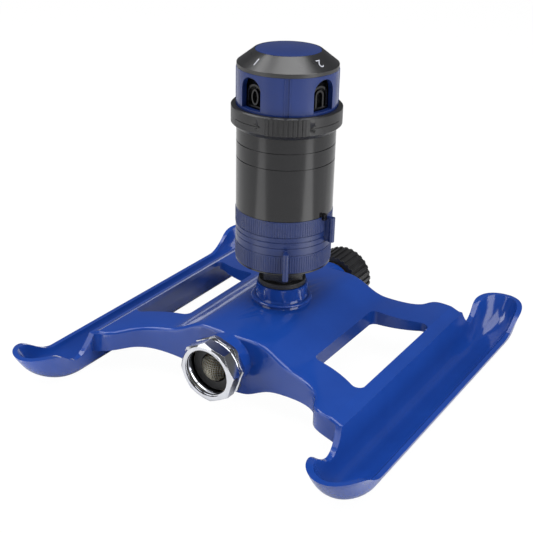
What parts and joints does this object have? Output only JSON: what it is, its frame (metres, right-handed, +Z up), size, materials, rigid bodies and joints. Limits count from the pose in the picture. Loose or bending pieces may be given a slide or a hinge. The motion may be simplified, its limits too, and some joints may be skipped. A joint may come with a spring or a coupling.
{
  "type": "gear-drive lawn sprinkler",
  "caption": "Gear-driven rotating lawn sprinkler on a two-runner sled base, with a hose nut, arc-setting rings, a range ring and a turning pattern head.",
  "frame": {"origin": "on the ground under the turret's axis, which is the middle of the base", "axes": "+Z up; +Y along the runners, from the hose nut towards the closing cap; +X across the base"},
  "size_m": [0.2182, 0.2294, 0.1849],
  "materials": {
    "blue_paint": "gloss",
    "blue_plastic": "satin",
    "navy_plastic": "satin",
    "black_plastic": "satin",
    "chrome": "polished",
    "brass": "satin",
    "rubber": "matte",
    "steel": "satin",
    "mesh": "woven",
    "acetal": "matte"
  },
  "bodies": {
    "base": {"sled_base": "blue_paint", "inlet_tail": "brass", "inlet_washer": "rubber", "inlet_strainer": "mesh", "outlet_nipple": "brass", "stem_gasket": "rubber", "stator_stem": "black_plastic", "stator_drum": "black_plastic", "inlet_screen": "mesh", "jet_plate": "acetal", "shaft_bush": "brass", "gear_pins": "steel", "gear_plate": "acetal", "king_pin": "steel", "king_clip": "steel", "bearing_washer": "acetal"},
    "hose_nut": {"swivel_nut": "chrome"},
    "cap_seal": {"cap_washer": "rubber"},
    "closing_cap": {"outlet_cap": "black_plastic"},
    "diverter_plate": {"diverter": "acetal"},
    "turbine": {"turbine_wheel": "acetal", "turbine_shaft": "steel", "turbine_pinion": "acetal"},
    "first_gear": {"gear_first": "acetal"},
    "second_gear": {"gear_second": "acetal"},
    "last_gear": {"gear_last": "acetal"},
    "lower_ring": {"lower_arc_ring": "navy_plastic"},
    "upper_ring": {"upper_arc_ring": "navy_plastic"},
    "rotor": {"gear_housing": "black_plastic", "ring_gear": "acetal", "outlet_spigot": "black_plastic", "selector_spacer": "acetal", "selector_disc": "acetal", "head_clip": "steel"},
    "distance_ring": {"range_ring": "black_plastic"},
    "nozzle_head": {"pattern_head": "blue_plastic", "nozzle_block": "black_plastic", "cone_cap": "black_plastic", "crown_disc": "blue_plastic"}
  },
  "joints": [
    {"name": "nut_swivel", "type": "hinge", "parent": "base", "child": "hose_nut", "pos_m": [0, -0.067, 0.0263], "axis": [0, 1, 0], "continuous": true},
    {"name": "cap_travel", "type": "slide", "parent": "base", "child": "cap_seal", "axis": [0, 1, 0], "range_m": [0, 0.0088]},
    {"name": "cap_turn", "type": "hinge", "parent": "cap_seal", "child": "closing_cap", "pos_m": [0, 0.068, 0.0263], "axis": [0, 1, 0], "range_deg": [0, 1440]},
    {"name": "diverter_swing", "type": "hinge", "parent": "base", "child": "diverter_plate", "pos_m": [0, 0, 0.075], "axis": [0, 0, 1], "range_deg": [-8, 8]},
    {"name": "rotor_turn", "type": "hinge", "parent": "base", "child": "rotor", "pos_m": [0, 0, 0.12], "axis": [0, 0, 1], "range_deg": [-347, 1.2]},
    {"name": "turbine_spin", "type": "hinge", "parent": "base", "child": "turbine", "pos_m": [0, 0, 0.08], "axis": [0, 0, 1], "range_deg": [-60, 15000]},
    {"name": "first_gear_spin", "type": "hinge", "parent": "base", "child": "first_gear", "pos_m": [-0.00431, 0.01184, 0.11], "axis": [0, 0, 1], "range_deg": [-6000, 30]},
    {"name": "second_gear_spin", "type": "hinge", "parent": "base", "child": "second_gear", "pos_m": [0, 0, 0.114], "axis": [0, 0, 1], "range_deg": [-12, 2400]},
    {"name": "last_gear_spin", "type": "hinge", "parent": "base", "child": "last_gear", "pos_m": [0.00431, -0.01184, 0.11], "axis": [0, 0, 1], "range_deg": [-960, 6]},
    {"name": "lower_ring_set", "type": "hinge", "parent": "base", "child": "lower_ring", "pos_m": [0, 0, 0.0755], "axis": [0, 0, 1], "continuous": true},
    {"name": "upper_ring_set", "type": "hinge", "parent": "base", "child": "upper_ring", "pos_m": [0, 0, 0.0904], "axis": [0, 0, 1], "range_deg": [0, 345]},
    {"name": "distance_set", "type": "hinge", "parent": "rotor", "child": "distance_ring", "pos_m": [0, 0, 0.149], "axis": [0, 0, 1], "range_deg": [-30, 30]},
    {"name": "pattern_turn", "type": "hinge", "parent": "rotor", "child": "nozzle_head", "pos_m": [0, 0, 0.165], "axis": [0, 0, 1], "continuous": true}
  ],
  "couplings": [
    {"joint": "cap_turn", "follows": "cap_travel", "rad_per_m": 2844.7},
    {"joint": "last_gear_spin", "follows": "rotor_turn", "ratio": 2.75},
    {"joint": "second_gear_spin", "follows": "rotor_turn", "ratio": -6.875},
    {"joint": "first_gear_spin", "follows": "rotor_turn", "ratio": 17.188},
    {"joint": "turbine_spin", "follows": "rotor_turn", "ratio": -42.969}
  ]
}
